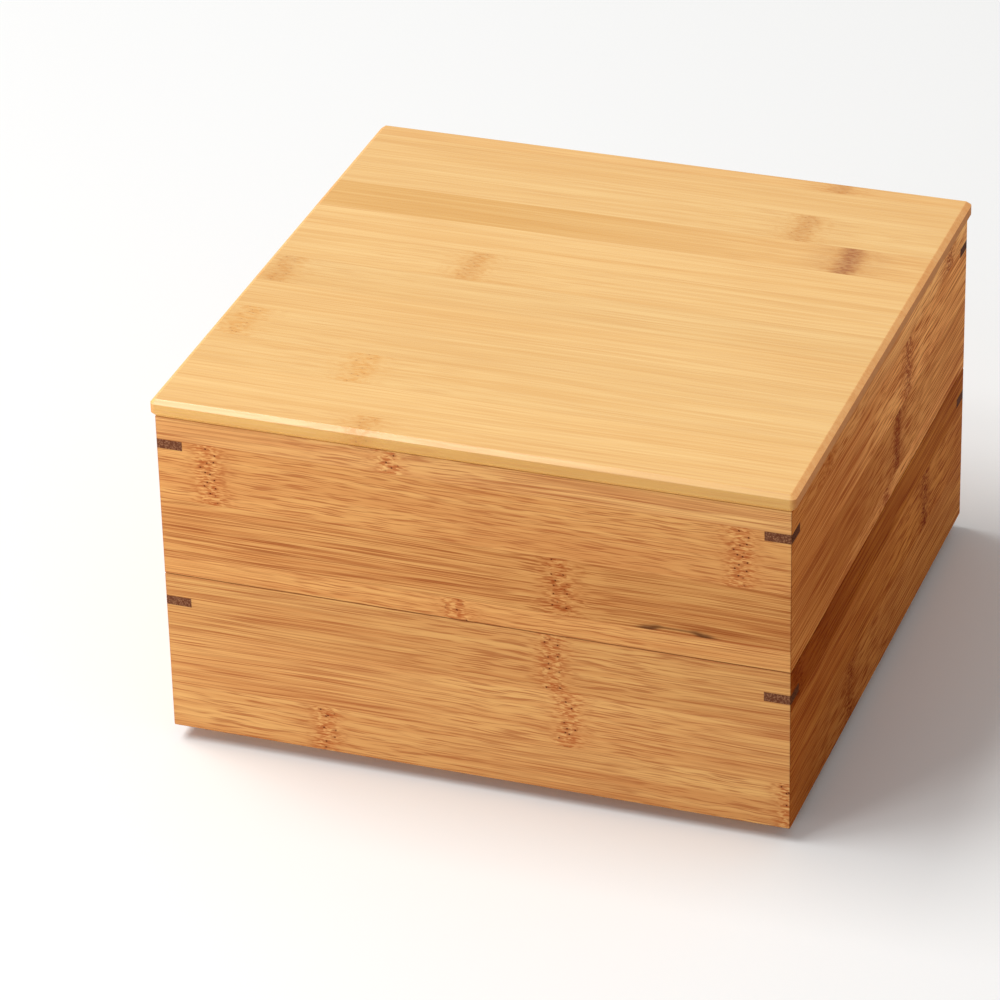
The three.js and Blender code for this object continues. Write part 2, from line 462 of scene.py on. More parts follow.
def write_grain(mesh, grain, along):
    """Stores each point's place in the board, along the fibres, across the strips and into the board, and
    how squarely each face cuts the fibres: the part of its normal that lies along them."""
    attribute = mesh.attributes.new("grain", "FLOAT_VECTOR", "POINT")
    attribute.data.foreach_set("vector", np.ascontiguousarray(grain / MM, np.float32).ravel())
    normals = gathered(mesh.polygons, "normal")
    write_faces(mesh, "end_grain", np.abs(normals @ np.asarray(along, np.float32)))


def write_painted_arris_shade(mesh):
    """Stores how far each face lies on an arris painted with shade, darkening seams and corners: one whose
    normal leans away from every axis and doesn't look up."""
    normals = gathered(mesh.polygons, "normal")
    lean = np.clip((1 - np.abs(normals).max(axis=1)) / PAINTED_ARRIS_SHADE_LEAN, 0, 1)
    write_faces(mesh, "grime", np.where(normals[:, 2] < PAINTED_ARRIS_SHADE_LOOKS_UP, lean, 0))


def strip_edges(strips):
    """Where a board's strips begin and end across it, in metres from its first edge."""
    return np.concatenate([[0.0], np.cumsum([strip.width for strip in strips])]) * MM


def write_strips(mesh, strips, across, seed):
    """Writes on each face the strip that it lies in: the last strip that begins before its middle."""
    edges = strip_edges(strips)
    index = np.clip(np.searchsorted(edges, across, side="right") - 1, 0, len(strips) - 1)
    width, *marks = np.array(strips).T
    draw = np.random.default_rng(seed)
    write_faces(mesh, "strip_seed", draw.uniform(*STRIP_SEED, len(strips))[index])
    write_faces(mesh, "strip_middle", ((edges[1:] + edges[:-1]) / 2 / MM)[index])
    write_faces(mesh, "strip_half", (width / 2)[index])
    for field, mark in zip(Strip._fields[1:], marks):
        write_faces(mesh, f"strip_{field}", mark[index])


def hidden_strips(breadth, seed):
    """Strips that fill a breadth in millimetres, the first and last cut where the board was cut."""
    draw = np.random.default_rng(seed)
    first = draw.uniform(*HIDDEN_FIRST) * HIDDEN_STRIP_WIDTH
    edges = np.arange(first, breadth - HIDDEN_LAST * HIDDEN_STRIP_WIDTH, HIDDEN_STRIP_WIDTH)
    widths = np.diff(np.concatenate([[0.0], edges, [breadth]]))
    count = len(widths)
    spacing = HIDDEN_KNUCKLE_SPACING * draw.uniform(*HIDDEN_SPREAD, count)
    knuckle = draw.uniform(*HIDDEN_KNUCKLE, count) * spacing
    tone = draw.uniform(*HIDDEN_TONE, count)
    warmth = draw.uniform(*HIDDEN_WARMTH, count)
    fringe = draw.uniform(*HIDDEN_FRINGE, count)
    rows = np.stack([widths, knuckle, spacing, fringe, tone, warmth], axis=1)
    return tuple(Strip(*row) for row in rows.tolist())


def place_piece(name, mesh, material, body, node):
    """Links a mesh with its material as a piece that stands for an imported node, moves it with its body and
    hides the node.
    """
    mesh.materials.append(material)
    piece = bpy.data.objects.new(name, mesh)
    bpy.context.scene.collection.objects.link(piece)
    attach(piece, body)
    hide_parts(node)


# Materials


def linear(shown):
    """The light that a colour on a screen stands for: the usual power of 2.4, with its toe."""
    shown = np.asarray(shown, float)
    light = np.where(shown <= 0.04045, shown / 12.92, ((shown + 0.055) / 1.055) ** 2.4)
    return (*light.tolist(), 1.0)


def tinted(light, tint):
    """A colour with each of its parts multiplied."""
    return (*(np.array(light[:3]) * tint).tolist(), 1.0)


class Flow:
    """What flows out of a node. Sums, products and the like of flows are nodes of their own."""

    def __init__(self, sheet, socket):
        self.sheet = sheet
        self.socket = socket

    def __add__(self, other):
        return self.sheet.math("ADD", self, other)

    def __sub__(self, other):
        return self.sheet.math("SUBTRACT", self, other)

    def __mul__(self, other):
        return self.sheet.math("MULTIPLY", self, other)

    def __truediv__(self, other):
        return self.sheet.math("DIVIDE", self, other)

    def __abs__(self):
        return self.sheet.math("ABSOLUTE", self)


class Speck(NamedTuple):
    """A speck of noise in bamboo: its length along the fibres and its width across them in millimetres, the
    noise at which it begins and at which it is full, how far it swings what it moves, and its detail."""

    long: float
    wide: float
    step: tuple = (0.0, 1.0)
    reach: float = 0.0
    detail: float = 1.0

    def drawn_out(self, factor):
        """The same speck, longer by a factor."""
        return self._replace(long=self.long * factor)


class NodeSheet:
    """A material's nodes, written as sums: most methods add a node and return what flows out of it."""

    def __init__(self, name):
        self.material = bpy.data.materials.new(name)
        self.material.use_nodes = True
        self.tree = self.material.node_tree
        self.shader = self.tree.nodes["Principled BSDF"]

    def fill(self, socket, value):
        """Joins a flow to a socket, or sets the socket's own value."""
        if isinstance(value, Flow):
            self.tree.links.new(value.socket, socket)
        else:
            socket.default_value = value

    def add(self, kind, inputs, **settings):
        """Adds a node with these settings and inputs, and returns its outputs."""
        node = self.tree.nodes.new("ShaderNode" + kind)
        for key, value in settings.items():
            setattr(node, key, value)
        for socket, value in inputs.items():
            self.fill(node.inputs[socket], value)
        return node.outputs

    def flow(self, kind, inputs, output=0, **settings):
        """One output of a new node."""
        return Flow(self, self.add(kind, inputs, **settings)[output])

    def attribute(self, name, output="Fac"):
        return self.flow("Attribute", {}, output, attribute_name=name)

    def strip(self, field):
        """A field of the strip that a point lies in."""
        return self.attribute(f"strip_{field}")

    def math(self, operation, *terms):
        return self.flow("Math", dict(enumerate(terms)), operation=operation)

    def line(self, value, slope, base):
        """A straight line: the slope times the value, and the base added to it."""
        return self.math("MULTIPLY_ADD", value, slope, base)

    def at_least(self, base, value):
        """The base where the value is 0, rising to 1 where the value is 1."""
        return self.line(value, 1 - base, base)

    def ease(self, value, low, high):
        """0 below low, 1 above high and a smooth step between; falls instead where low is above high."""
        inputs = {"Value": value, "From Min": low, "From Max": high}
        return self.flow("MapRange", inputs, interpolation_type="SMOOTHSTEP")

    def vector(self, operation, *terms):
        return self.flow("VectorMath", dict(enumerate(terms)), operation=operation)

    def scale(self, vector, factor):
        """A vector or colour multiplied by a number."""
        return self.flow("VectorMath", {0: vector, "Scale": factor}, operation="SCALE")

    def noise(self, point, speck):
        """Noise from 0 to 1 drawn out to the speck's length and width."""
        scaled = self.vector("MULTIPLY", point, (1 / speck.long, 1 / speck.wide, 1 / speck.wide))
        return self.flow("TexNoise", {"Vector": scaled, "Scale": 1.0, "Detail": speck.detail})

    def specks(self, point, speck):
        """1 in the specks and 0 between them, by a smooth step of the noise."""
        return self.ease(self.noise(point, speck), *speck.step)

    def swing(self, point, speck):
        """Noise about 0 that swings by about half of the speck's reach either way."""
        return (self.noise(point, speck) - 0.5) * speck.reach

    def inside(self, offset, radii):
        """1 at the middle of a soft ellipsoid, 0 from its surface outwards."""
        part = self.vector("DIVIDE", offset, radii)
        distance = self.flow("VectorMath", {0: part}, "Value", operation="LENGTH")
        return self.ease(distance, 1.0, SOFT_MIDDLE)

    def between(self, factor, first, second):
        """A number between two others."""
        return self.flow("Mix", {0: factor, 2: first, 3: second})

    def blend(self, factor, first, second):
        """A colour between two others."""
        return self.flow("Mix", {0: factor, 6: first, 7: second}, 2, data_type="RGBA")

    def tint(self, factor, colour, by):
        """A colour, multiplied by another as far as the factor says."""
        return self.blend(factor, colour, self.vector("MULTIPLY", colour, by))

    def finish(self, colour, roughness, height, bump, relief, specular):
        """Joins colour, roughness and height to the shader, and sets its specular level."""
        normal = self.flow("Bump", {"Strength": bump, "Distance": relief, "Height": height})
        self.fill(self.shader.inputs["Base Color"], colour)
        self.fill(self.shader.inputs["Roughness"], roughness)
        self.fill(self.shader.inputs["Normal"], normal)
        self.shader.inputs["Specular IOR Level"].default_value = specular
        return self.material


# Fibres far from a knuckle, the hairs between them, and the dashes in a knuckle's fringe
LINES = Speck(46.0, 0.54, (0.47, 0.64))
HAIRS = Speck(30.0, 0.36, (0.47, 0.62))
DASHES = Speck(12.0, 0.5, (0.45, 0.68))
# Flecks beside a knuckle of a wall and of the lid, how they break up its stain, and pale flecks in it
WALL_FLECKS = Speck(3.2, 0.5, (0.44, 0.66))
LID_FLECKS = Speck(2.4, 0.8, (0.44, 0.66))
STAIN_FLECK = (0.35, 0.65)
PALE_FLECKS = Speck(2.2, 0.7, (0.52, 0.64))
# Broader colour: streaks of some fibres and their share, bands of many, and how fibres drift and sway
STREAKS = Speck(80.0, 1.4, (0.36, 0.64), detail=2.0)
STREAK_SHARE = 0.6
BANDS = Speck(150.0, 7.0, (0.36, 0.64), detail=2.0)
DRIFT = Speck(170.0, 34.0, reach=5.0)
SWAY = Speck(15.0, 6.0, reach=1.1)
# How a knuckle wanders across its strip, and how raggedly its fringe, its stain and its darker band end
WANDER = Speck(60.0, 9.0, reach=4.8)
RAGGED = Speck(24.0, 1.1, reach=0.9)
STAINED = Speck(7.0, 2.6)
FLARE = Speck(30.0, 2.0)
FLARE_SWING = 0.8
SHADE_SWING = 50.0

# Smooth steps about a knuckle, in millimetres from it, but for its fringe, in parts of its reach
FRINGE_STEP = (1.0, 0.4)
NEAR_FULL = 1.5
CORE_STEP = (3.4, 2.6)
SMUDGE_STEP = (8.0, 0.0)
STAIN_STEP = (6.5, 0.0)
PALE_STEP = (6.0, 2.5)
# The least of its smudge and of its stain, away from it and between flecks
SMUDGE_LEAST = 0.3
FLECK_LEAST = 0.4
STAIN_LEAST = 0.25
STAIN_FLECK_LEAST = 0.5
# How much fainter fibres are beside it, and how strongly its pale flecks and its smears show
FAINTER = 0.16
PALE_STRENGTH = 0.55
SMEAR_STRENGTH = 0.6
# Its pits: the cell that may hold one, which cells do, the pit and its smear, and how strips differ
PIT_CELL = (3.2, 2.3, 1.0)
PIT_KEPT = (0.3, 0.6)
PIT_RADII = (0.44, 0.38, 1.0)
SMEAR_RADII = (2.4, 0.6, 1.0)
SOFT_MIDDLE = 0.4
PIT_SHIFT = 97.0
SEED_SHIFT = (873.0, 419.0, 611.0)

# The mineral mark, in millimetres: its arch, the blots at its feet, its thickness, where it fades out, and
# the line along the strip's edge that it runs into
ARCH_STEP = (9.5, 5.0)
ARCH_RISE = 1.1
ARCH_BASE = 0.35
FOOT_AT = 8.8
FOOT_STEP = (5.4, 0.4)
FOOT_THICKER = 1.3
MARK_THICK = 0.7
MARK_END = (16.0, 10.0)
MARK_LEAST = 0.7
LINE_STEP = (0.8, 0.2)
LINE_START = (-22.0, -8.0)
LINE_STRENGTH = 0.7

# Glue lines and darker bands along a strip (painted shade on the right side), in millimetres, and the
# tints of stains, bands and fibres on them
GLUE_STEP = (0.3, 0.0)
GLUE_STRENGTH = 0.5
SHADE_STEP = (150.0, 8.0)
STAIN_TINT = (0.5, 0.28, 0.36)
SHADE_TINT = (0.97, 1.13, 0.42)
DRAWN_TINT = (0.7, 0.52, 0.42)
# How deep a board's face reaches, in millimetres, how much of a strip's own colour and painted shade is
# left below it, where its heart starts and where the painted shade on its edge starts
FACE_STEP = (1.5, 0.5)
FACE_LEAST = 0.3
HEART_STEP = (1.3, 1.6)
PAINTED_EDGE_SHADE_STEP = (0.02, 0.08)
# How far a strip's tone, its warmth and the painted shade on arrises go
TONE_GAIN = 0.25
WARMTH_LOSS = (0.0, 0.29, 0.6)
PAINTED_ARRIS_SHADE_LOSS = 0.38
# How much rougher fibres and their ends are, and the relief of the surface
FIBRE_ROUGHER = 0.1
END_ROUGHER = 0.5
FIBRE_SUNK = 0.4
BAMBOO_BUMP = 0.35
BAMBOO_RELIEF = 0.08 * MM

# The keys' specks and clouds, in cells a metre, how they show, the tint of their ends and their surface
KEY_SPECKS = 1700.0
KEY_CLOUDS = 420.0
KEY_CLOUD_DETAIL = 3.0
KEY_SPECK_STEP = (0.5, 0.2)
KEY_GAP_STEP = (0.45, 0.75)
KEY_GAP_STRENGTH = 0.6
KEY_END_TINT = (0.6, 0.42, 0.25)
KEY_ROUGHNESS = 0.45
KEY_CLOUD_ROUGHER = 0.2
KEY_BUMP = 0.3
KEY_RELIEF = 0.05 * MM
KEY_SPECULAR = 0.01


class Finish(NamedTuple):
    """How a board's bamboo looks: its colours, how long its fibres run, how strongly each mark shows,
    the tints that it takes on below its face, where its fibres end and where both are so, and its gloss.
    All but the colours are those of a wall unless they are given."""

    pale: tuple
    amber: tuple
    dash: tuple
    smudge: tuple
    core: tuple
    pit: tuple
    mineral: tuple
    fibre: float = 1.0
    fleck: Speck = WALL_FLECKS
    dashes: float = 0.76
    streaks: float = 0.75
    stain: float = 0.6
    near: float = 10.5
    flare: float = 16.0
    pits: float = 1.0
    # Painted shade on the edge below the top
    worn: float = 0.0
    heart: tuple = WHITE
    butt: tuple = (1.0, 0.8, 0.75)
    butt_heart: tuple = WHITE
    roughness: float = 0.5
    specular: float = 0.004


class Knuckle(NamedTuple):
    """Where a point lies about the nearest knuckle: its offset and distance along the fibres, and how far
    it is into the knuckle's fringe, its stain and its core."""

    off: Flow
    distance: Flow
    fringe: Flow
    near: Flow
    core: Flow


def about_knuckle(sheet, finish, along, point):
    """The offset along the fibres wraps round the strip's knuckle spacing and wanders across the strip. The
    fringe and the stain begin at their reach, sooner on some fibres than on others."""
    half_spacing = sheet.strip("spacing") * 0.5
    away = along - sheet.strip("knuckle")
    off = sheet.math("WRAP", away, half_spacing, half_spacing * -1.0) + sheet.swing(point, WANDER)
    distance = abs(off)
    part = distance / sheet.strip("fringe") + sheet.swing(point, RAGGED)
    fringe = sheet.ease(part, *FRINGE_STEP)
    near = distance + sheet.swing(point, STAINED._replace(reach=finish.near))
    near = sheet.ease(near, finish.near, NEAR_FULL)
    return Knuckle(off, distance, fringe, near, sheet.ease(distance, *CORE_STEP))


def fibres(sheet, finish, point, knuckle):
    """Fibres are noise drawn out along the grain: long lines with hairs between them, short dashes in a
    knuckle's fringe, flecks beside it. Returns them, from 0 pale to 1 dark, and the place they bend to."""
    drift = sheet.swing(point, DRIFT)
    sway = sheet.swing(point, SWAY) * knuckle.fringe
    bent = sheet.vector("ADD", point, sheet.flow("CombineXYZ", {"Y": drift + sway}))
    lines = sheet.specks(bent, LINES.drawn_out(finish.fibre))
    lines = sheet.between(0.5, lines, sheet.specks(bent, HAIRS))
    dashes = sheet.specks(bent, DASHES.drawn_out(finish.fibre))
    far = sheet.between(knuckle.fringe, lines, dashes)
    return sheet.between(knuckle.near, far, sheet.specks(bent, finish.fleck)), bent


def ground(sheet, finish, dash, bent, knuckle):
    """The bamboo's ground: pale to amber by streaks and bands, with its fibres, fainter by a knuckle."""
    streak = sheet.specks(bent, STREAKS.drawn_out(finish.fibre))
    amber = sheet.line(streak, STREAK_SHARE, sheet.specks(bent, BANDS) * (1 - STREAK_SHARE))
    colour = sheet.blend(amber * finish.streaks, finish.pale, finish.amber)
    calm = sheet.math("MAXIMUM", knuckle.fringe, knuckle.near)
    strength = sheet.line(calm, -FAINTER * finish.dashes, finish.dashes)
    return sheet.blend(dash * strength, colour, finish.dash)


def pits(sheet, across, knuckle):
    """Each cell of a flat Voronoi pattern, two cells wide along the knuckle, may hold one pit and its smear.
    The pattern runs on round the board's arris, because it counts across the strips and into the board."""
    row = sheet.line(sheet.strip("seed"), PIT_SHIFT, across / PIT_CELL[1])
    cell = sheet.flow("CombineXYZ", {"X": knuckle.off / PIT_CELL[0], "Y": row})
    inputs = {"Vector": cell, "Scale": 1.0, "Randomness": 1.0}
    cells = sheet.add("TexVoronoi", inputs, voronoi_dimensions="2D")
    offset = sheet.vector("SUBTRACT", cell, Flow(sheet, cells["Position"]))
    offset = sheet.vector("MULTIPLY", offset, PIT_CELL)
    kept = sheet.ease(Flow(sheet, cells["Color"]), *PIT_KEPT) * knuckle.core
    return sheet.inside(offset, PIT_RADII) * kept, sheet.inside(offset, SMEAR_RADII) * kept


def knuckle_marks(sheet, finish, colour, point, bent, knuckle, pit, smear):
    """A smudge round the knuckle, a dark stain that flares out along some fibres, pale flecks, and pits with
    their smears. The smudge and the stain are broken up by flecks and are heaviest in the middle."""
    grainy = sheet.at_least(FLECK_LEAST, sheet.specks(bent, finish.fleck._replace(step=STAIN_FLECK)))
    heavy = sheet.at_least(SMUDGE_LEAST, sheet.ease(knuckle.distance, *SMUDGE_STEP)) * grainy
    colour = sheet.blend(knuckle.near * heavy * finish.stain, colour, finish.smudge)
    flare = knuckle.distance + sheet.swing(point, FLARE._replace(reach=FLARE_SWING * finish.flare))
    core = sheet.at_least(STAIN_LEAST, sheet.ease(knuckle.distance, *STAIN_STEP))
    core = core * sheet.at_least(STAIN_FLECK_LEAST, grainy)
    stain = sheet.ease(flare, finish.flare, 0.0) * sheet.strip("stain") * core
    colour = sheet.blend(stain, colour, tinted(finish.dash, STAIN_TINT))
    pale = sheet.specks(bent, PALE_FLECKS) * sheet.ease(knuckle.distance, *PALE_STEP)
    colour = sheet.blend(pale * (PALE_STRENGTH * finish.pits), colour, finish.core)
    colour = sheet.blend(smear * (SMEAR_STRENGTH * finish.pits), colour, finish.dash)
    return sheet.blend(pit * finish.pits, colour, finish.pit)


def mineral_mark(sheet, along, from_edge):
    """A dark mark over the strip's lower edge: a thin arch of about 18 mm with a blot at either foot, and
    the line that it runs into."""
    from_middle = abs(along)
    arch = sheet.line(sheet.ease(from_middle, *ARCH_STEP), ARCH_RISE, ARCH_BASE)
    foot = sheet.ease(abs(from_middle - FOOT_AT), *FOOT_STEP)
    thick = sheet.line(foot, FOOT_THICKER, MARK_THICK)
    mark = sheet.ease(abs(from_edge - arch), thick, 0.0) * sheet.ease(from_middle, *MARK_END)
    line = sheet.ease(from_edge, *LINE_STEP) * sheet.ease(along, *LINE_START)
    return mark * sheet.at_least(MARK_LEAST, foot), line


def strip_marks(sheet, finish, colour, along, across, point, dash, face):
    """The mineral mark, the glue line between strips, and a darker band along the strip (painted shade on
    the right side) with fibres drawn over it.
    """
    rise = across - sheet.strip("middle")
    half = sheet.strip("half")
    mark, line = mineral_mark(sheet, along - sheet.strip("mineral"), rise + half)
    colour = sheet.blend(line * LINE_STRENGTH, colour, finish.dash)
    colour = sheet.blend(mark, colour, finish.mineral)
    glue = sheet.ease(half - abs(rise), *GLUE_STEP)
    colour = sheet.blend(glue * (GLUE_STRENGTH * finish.dashes), colour, finish.dash)
    # A darker band along the strip; on the right side it is painted shade, darkest at the front end
    shade = abs(along - sheet.strip("shade")) + sheet.swing(point, FLARE._replace(reach=SHADE_SWING))
    shade = sheet.ease(shade, *SHADE_STEP) * sheet.strip("depth") * face
    colour = sheet.blend(shade, colour, tinted(finish.dash, SHADE_TINT))
    return sheet.tint(dash * sheet.strip("drawn") * face, colour, DRAWN_TINT)


def bamboo(name, finish):
    """Bamboo on a board's grain coordinates: its ground and fibres, then its knuckles, the marks along its
    strips with painted shade on the right side, what shows below its face and at the ends of its fibres
    with painted shade on the lid's edge, the tone of each strip, and painted shade on arrises."""
    sheet = NodeSheet(name)
    grain = sheet.attribute("grain", "Vector")
    along, across, depth = (Flow(sheet, axis) for axis in sheet.add("SeparateXYZ", {"Vector": grain}))
    point = sheet.vector("ADD", grain, sheet.scale(SEED_SHIFT, sheet.strip("seed")))
    knuckle = about_knuckle(sheet, finish, along, point)
    dash, bent = fibres(sheet, finish, point, knuckle)
    pit, smear = pits(sheet, across + depth, knuckle)
    face = sheet.at_least(FACE_LEAST, sheet.ease(depth, *FACE_STEP))
    colour = ground(sheet, finish, dash, bent, knuckle)
    colour = knuckle_marks(sheet, finish, colour, point, bent, knuckle, pit, smear)
    colour = strip_marks(sheet, finish, colour, along, across, point, dash, face)

    ends = sheet.attribute("end_grain")
    deep = sheet.ease(depth, *HEART_STEP)
    # Painted shade darkens the faces below the top, most on front and back edges and deep in the board
    worn = sheet.math("MAXIMUM", sheet.math("SUBTRACT", 1.0, ends), deep)
    worn = worn * sheet.ease(depth, *PAINTED_EDGE_SHADE_STEP)
    colour = sheet.scale(colour, sheet.line(worn, -finish.worn, 1.0))
    colour = sheet.tint(deep, colour, sheet.blend(ends, finish.heart, finish.butt_heart))
    colour = sheet.tint(ends, colour, finish.butt)
    # Each strip's tone and warmth on its outer face; on the right side they carry painted shade and light
    colour = sheet.scale(colour, sheet.line(sheet.strip("tone") * face, TONE_GAIN, 1.0))
    lost = sheet.scale(WARMTH_LOSS, sheet.strip("warmth") * face)
    colour = sheet.vector("MULTIPLY", colour, sheet.vector("SUBTRACT", WHITE[:3], lost))
    # Painted shade on arrises that don't look up, darkening seams and corners
    colour = sheet.scale(colour, sheet.line(sheet.attribute("grime"), -PAINTED_ARRIS_SHADE_LOSS, 1.0))
    roughness = sheet.line(ends, END_ROUGHER, sheet.line(dash, FIBRE_ROUGHER, finish.roughness))
    height = dash * -FIBRE_SUNK - pit
    return sheet.finish(colour, roughness, height, BAMBOO_BUMP, BAMBOO_RELIEF, finish.specular)


def wall_finish(colours):
    """Reddish boards with strong fibres and hardly any gloss."""
    names = ("wall_pale", "wall_amber", "wall_dash", "wall_smudge", "knuckle_core", "knuckle_pit", "mineral")
    return Finish(*(linear(getattr(colours, name)) for name in names))


def lid_finish(colours):
    """A pale board with faint fibres and a satin gloss, its edge below the top darkened by painted shade."""
    names = ("pale", "amber", "dash", "smudge", "pit")
    return wall_finish(colours)._replace(
        **{name: linear(getattr(colours, f"lid_{name}")) for name in names},
        fibre=1.2,
        fleck=LID_FLECKS,
        dashes=0.36,
        streaks=0.8,
        stain=0.74,
        near=14.0,
        flare=20.0,
        pits=0.4,
        worn=0.1,
        heart=(0.85, 0.78, 0.54, 1.0),
        butt=(1.27, 0.9, 0.73),
        butt_heart=(0.56, 0.47, 0.28, 1.0),
        roughness=0.24,
        specular=0.45,
    )


def floor_finish(colours):
    """Like the walls, but paler, with fainter fibres."""
    return wall_finish(colours)._replace(pale=linear(colours.lid_pale), dashes=0.4, roughness=0.55)


def strip_finish(colours):
    """Like the floors, with fibres a little stronger."""
    return floor_finish(colours)._replace(dashes=0.45)


def smoked_key(colours):
    """Smoked bamboo: paler specks in Voronoi cells of half a millimetre, and darker where its fibres end."""
    sheet = NodeSheet("smoked_key")
    place = sheet.flow("TexCoord", {}, "Object")
    away = sheet.flow("TexVoronoi", {"Vector": place, "Scale": KEY_SPECKS}, "Distance")
    cloud = sheet.flow("TexNoise", {"Vector": place, "Scale": KEY_CLOUDS, "Detail": KEY_CLOUD_DETAIL})
    speck = sheet.ease(away, *KEY_SPECK_STEP) * cloud
    colour = sheet.blend(speck, linear(colours.key_dark), linear(colours.key_speck))
    gap = sheet.ease(away, *KEY_GAP_STEP) * KEY_GAP_STRENGTH
    colour = sheet.blend(gap, colour, linear(colours.knuckle_pit))
    colour = sheet.tint(sheet.attribute("end_grain"), colour, KEY_END_TINT)
    roughness = sheet.line(cloud, KEY_CLOUD_ROUGHER, KEY_ROUGHNESS)
    return sheet.finish(colour, roughness, speck, KEY_BUMP, KEY_RELIEF, KEY_SPECULAR)


# Pieces


def key_slot(sizes):
    """The slot that a corner key sits in, its glue gap wider than the key all round."""
    leg = KEY_SIZE.x + sizes.key_fit * math.sqrt(2)
    bottom = KEY_LOW.z - WALL_LOW.z
    return Slot(leg, bottom - sizes.key_fit, bottom + KEY_SIZE.z + sizes.key_fit)


def wall_outline(sizes, strips, slot):
    """A wall's section: rounded arrises, the floor's groove, and rows at its strips and at its key slot."""
    thickness, height = WALL_SIZE.y, WALL_SIZE.z
    groove = BODY_HALF - FLOOR_HIGH.x - sizes.groove_play
    bottom = FLOOR_LOW.z - WALL_LOW.z - sizes.groove_fit
    top = FLOOR_HIGH.z - WALL_LOW.z + sizes.groove_fit
    outside = [(thickness, 0), (0, 0), (0, height), (thickness, height)]
    inside = [(thickness, top), (groove, top), (groove, bottom), (thickness, bottom)]
    outline = rounded_outline(outside + inside, [sizes.arris] * len(outside) + [0] * len(inside))
    return with_rows(outline, [*strip_edges(strips)[1:-1], slot.bottom, slot.top])


def turned_board(name, points, faces, place, quarter):
    """A board made at the front and turned to its side: its mesh, its points as they lay at the front,
    counted from its place there, and the direction of its fibres."""
    mesh = closed_mesh(name, quarter_turned(points + place, quarter), faces)
    local = quarter_turned(gathered(mesh.vertices, "co"), -quarter) - place
    return mesh, local, quarter_turned([ALONG_X], quarter)[0]


def make_wall(sizes, material, tier, side):
    """One mitred wall, carried along X at the front and turned to its side."""
    tier_index, quarter = TIERS.index(tier), SIDES.index(side)
    seed = WALL_SEED + len(SIDES) * tier_index + quarter
    strips = SHOWN_STRIPS.get((tier, side)) or hidden_strips(WALL_SIZE.z / MM, seed)
    slot = key_slot(sizes)
    points, faces = mitred_board(wall_outline(sizes, strips, slot), BODY_HALF, sizes.arris, slot)
    place = np.array([0, -BODY_HALF, WALL_LOW.z + TIER_STEP * tier_index])
    name = f"{tier}_wall_{side}"
    mesh, local, along = turned_board(name, points, faces, place, quarter)
    write_grain(mesh, local[:, [0, 2, 1]], along)
    write_strips(mesh, strips, gathered(mesh.polygons, "center")[:, 2] - place[2], seed)
    write_painted_arris_shade(mesh)
    place_piece(name, mesh, material, f"{tier}_tier", f"{tier}_{side}_wall")


def make_edge_strip(sizes, material, names, body, quarter, seed):
    """One mitred strip under a floor or the lid, with its lead-in chamfer below and small arrises."""
    name, node = names
    low, high, size = span(node)
    half = -quarter_turned([low, high], -quarter)[:, 1].min()
    width = min(size.x, size.y)
    chamfer = sizes.strip_chamfer
    corners = [(0, chamfer), (0, size.z), (width, size.z), (width, 0), (chamfer, 0)]
    outline = rounded_outline(corners, [sizes.strip_arris] * len(corners))
    points, faces = mitred_board(outline, half)
    place = np.array([0, -half, low.z])
    mesh, local, along = turned_board(name, points, faces, place, quarter)
    write_grain(mesh, local, along)
    knuckle = np.random.default_rng(seed).uniform(*HIDDEN_KNUCKLE) * HIDDEN_KNUCKLE_SPACING
    strips = (Strip(width / MM, knuckle, HIDDEN_KNUCKLE_SPACING),)
    write_strips(mesh, strips, np.zeros(len(mesh.polygons)), seed)
    place_piece(name, mesh, material, body, node)


def write_flat_board(mesh, strips, low, high, seed):
    """Writes grain and strips on a flat board: fibres along X, strips along Y, depth from its top."""
    local = gathered(mesh.vertices, "co") * np.array([1, 1, -1]) + np.array([0, -low.y, high.z])
    write_grain(mesh, local, ALONG_X)
    write_strips(mesh, strips, gathered(mesh.polygons, "center")[:, 1] - low.y, seed)


def make_floor(sizes, material, tier):
    """A floor board: its section across the strips, with small arrises, carried straight along X."""
    node = f"{tier}_floor_panel"
    seed = FLOOR_SEED + TIERS.index(tier)
    low, high, size = span(node)
    strips = hidden_strips(size.y / MM, seed)
    corners = [(0, 0), (size.z, 0), (size.z, size.y), (0, size.y)]
    outline = rounded_outline(corners, [sizes.strip_arris] * len(corners))
    rise, across = with_rows(outline, strip_edges(strips)[1:-1]).T
    ring = np.stack([np.zeros_like(rise), low.y + across, low.z + rise], axis=1)
    mesh = closed_mesh(f"{tier}_floor_board", *prism(ring + [low.x, 0, 0], ring + [high.x, 0, 0]))
    write_flat_board(mesh, strips, low, high, seed)
    place_piece(f"{tier}_floor_board", mesh, material, f"{tier}_tier", node)


def make_key(sizes, material, tier, corner):
    """A corner key: a right-angled triangle, its corner rounded like the walls', carried up its height."""
    node = f"{tier}_corner_key_{corner}"
    low, high, size = span(node)
    leg, arris = size.x, sizes.arris
    angle = np.linspace(-np.pi / 2, 0, 2 * ARRIS_STEPS + 1)
    arc_x = BODY_HALF - arris + arris * np.cos(angle)
    arc_y = -BODY_HALF + arris + arris * np.sin(angle)
    x = np.concatenate([[BODY_HALF - leg], arc_x, [BODY_HALF]])
    y = np.concatenate([[-BODY_HALF], arc_y, [-BODY_HALF + leg]])
    ring = np.stack([x, y, np.zeros_like(x)], axis=1)
    points, faces = prism(ring + [0, 0, low.z], ring + [0, 0, high.z])
    name = f"{tier}_key_{corner}"
    mesh = closed_mesh(name, quarter_turned(points, CORNERS.index(corner)), faces)
    write_grain(mesh, gathered(mesh.vertices, "co"), ALONG_X)
    place_piece(name, mesh, material, f"{tier}_tier", node)


